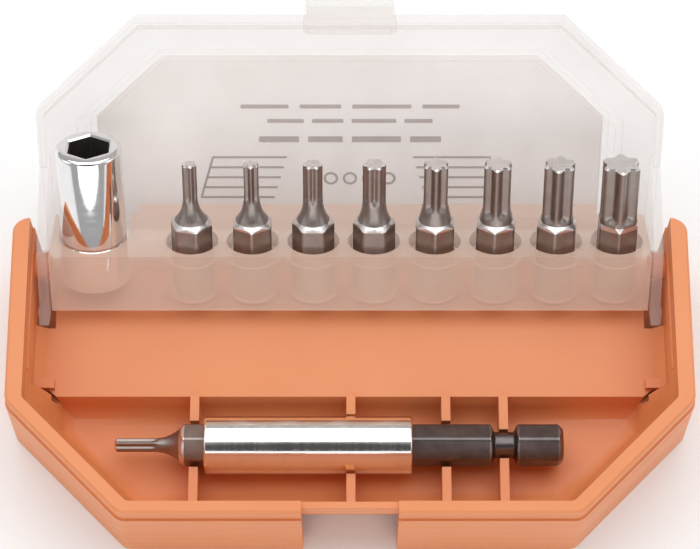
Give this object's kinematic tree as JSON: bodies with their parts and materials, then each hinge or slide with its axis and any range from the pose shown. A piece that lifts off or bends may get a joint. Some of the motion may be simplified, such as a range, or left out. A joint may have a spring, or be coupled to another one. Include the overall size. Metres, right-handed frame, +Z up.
{
  "type": "star bit set in a flip-open case",
  "caption": "Pocket set of six-lobe insert bits with a magnetic bit holder and a square-drive adapter in a flip-open case whose clear cover carries the bit rack.",
  "frame": {"origin": "middle of the flat underside of the well, on the surface the case stands on", "axes": "+X to the right along the case, +Y to the rear where the cover is hinged, +Z up"},
  "size_m": [0.114, 0.0813, 0.0503],
  "materials": {
    "orange_plastic": "fine satin moulded plastic",
    "clear_plastic": "frosted clear plastic",
    "frosted_plastic": "frosted translucent plastic",
    "printed_film": "white print on clear film",
    "chrome": "bright chrome plate",
    "magnet": "ground nickel plate",
    "spring_steel": "drawn wire",
    "bit_steel": "brown-grey phosphate with bright ground tips",
    "polished_steel": "polished stainless steel",
    "black_oxide": "black oxide"
  },
  "bodies": {
    "base": {"case_base": "orange_plastic"},
    "cover": {"clear_cover": "clear_plastic", "bit_rack": "frosted_plastic", "printed_label": "printed_film"},
    "adapter": {"adapter_body": "chrome", "adapter_magnet": "magnet", "adapter_clip_ring": "spring_steel"},
    "bit_09": {"star_bit_09": "bit_steel"},
    "bit_10": {"star_bit_10": "bit_steel"},
    "bit_15": {"star_bit_15": "bit_steel"},
    "bit_20": {"star_bit_20": "bit_steel"},
    "bit_25": {"star_bit_25": "bit_steel"},
    "bit_27": {"star_bit_27": "bit_steel"},
    "bit_30": {"star_bit_30": "bit_steel"},
    "bit_40": {"star_bit_40": "bit_steel"},
    "holder": {"holder_clip_ring": "spring_steel", "holder_magnet": "magnet", "holder_shank": "black_oxide", "holder_sleeve": "polished_steel", "star_bit_08": "bit_steel"}
  },
  "joints": [
    {"name": "cover_hinge", "type": "hinge", "parent": "base", "child": "cover", "pos_m": [0, 0.02915, 0.0122], "axis": [-1, 0, 0], "range_deg": [-126, 0]},
    {"name": "adapter_pull", "type": "slide", "parent": "cover", "child": "adapter", "axis": [0, 0.5878, 0.809], "range_m": [0, 0.008]},
    {"name": "bit_09_pull", "type": "slide", "parent": "cover", "child": "bit_09", "axis": [0, 0.5878, 0.809], "range_m": [0, 0.012]},
    {"name": "bit_10_pull", "type": "slide", "parent": "cover", "child": "bit_10", "axis": [0, 0.5878, 0.809], "range_m": [0, 0.012]},
    {"name": "bit_15_pull", "type": "slide", "parent": "cover", "child": "bit_15", "axis": [0, 0.5878, 0.809], "range_m": [0, 0.012]},
    {"name": "bit_20_pull", "type": "slide", "parent": "cover", "child": "bit_20", "axis": [0, 0.5878, 0.809], "range_m": [0, 0.012]},
    {"name": "bit_25_pull", "type": "slide", "parent": "cover", "child": "bit_25", "axis": [0, 0.5878, 0.809], "range_m": [0, 0.012]},
    {"name": "bit_27_pull", "type": "slide", "parent": "cover", "child": "bit_27", "axis": [0, 0.5878, 0.809], "range_m": [0, 0.012]},
    {"name": "bit_30_pull", "type": "slide", "parent": "cover", "child": "bit_30", "axis": [0, 0.5878, 0.809], "range_m": [0, 0.012]},
    {"name": "bit_40_pull", "type": "slide", "parent": "cover", "child": "bit_40", "axis": [0, 0.5878, 0.809], "range_m": [0, 0.012]},
    {"name": "holder_lift", "type": "slide", "parent": "base", "child": "holder", "axis": [0, 0, 1], "range_m": [0, 0.03]}
  ]
}
